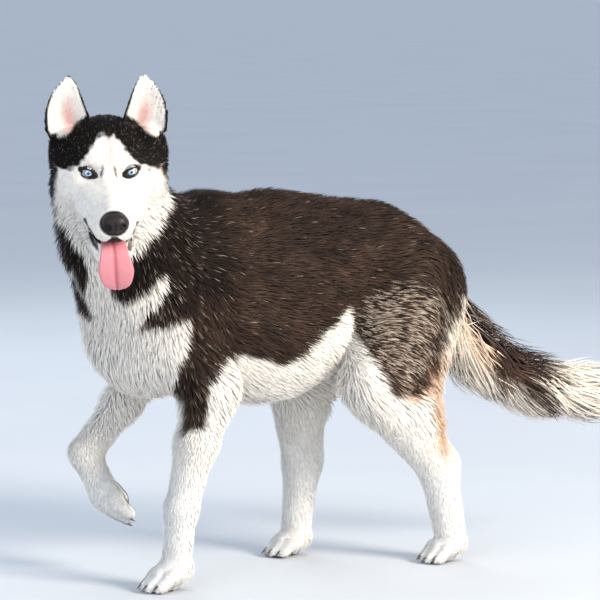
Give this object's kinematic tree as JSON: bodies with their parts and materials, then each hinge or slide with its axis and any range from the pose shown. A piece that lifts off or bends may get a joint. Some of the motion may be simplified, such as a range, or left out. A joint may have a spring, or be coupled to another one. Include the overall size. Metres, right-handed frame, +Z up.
{
  "type": "siberian husky figure",
  "caption": "Life-size standing husky with one forefoot lifted, head turned to its left and tongue out, thick double coat.",
  "frame": {"origin": "bottom centre of the bounding box, on the floor between the four feet", "axes": "+X towards the tail, -X the way the body faces, +Y the dog's right side, +Z up"},
  "size_m": [1.0166, 0.3623, 0.7581],
  "materials": {
    "coat_dark": "soft matte fur, black with brown tints",
    "coat_light": "soft matte fur, cream white",
    "nose": "moist satin",
    "tongue": "moist satin",
    "eye": "clear wet gloss"
  },
  "bodies": {
    "root": {"torso": "coat_dark", "neck": "coat_dark", "head": "coat_light", "ear_left": "coat_dark", "ear_right": "coat_dark", "eye_left": "eye", "eye_right": "eye", "nose": "nose", "tongue": "tongue", "foreleg_left": "coat_light", "foreleg_right": "coat_light", "thigh_left": "coat_dark", "thigh_right": "coat_dark", "hindleg_left": "coat_light", "hindleg_right": "coat_light", "tail": "coat_dark"}
  },
  "joints": []
}
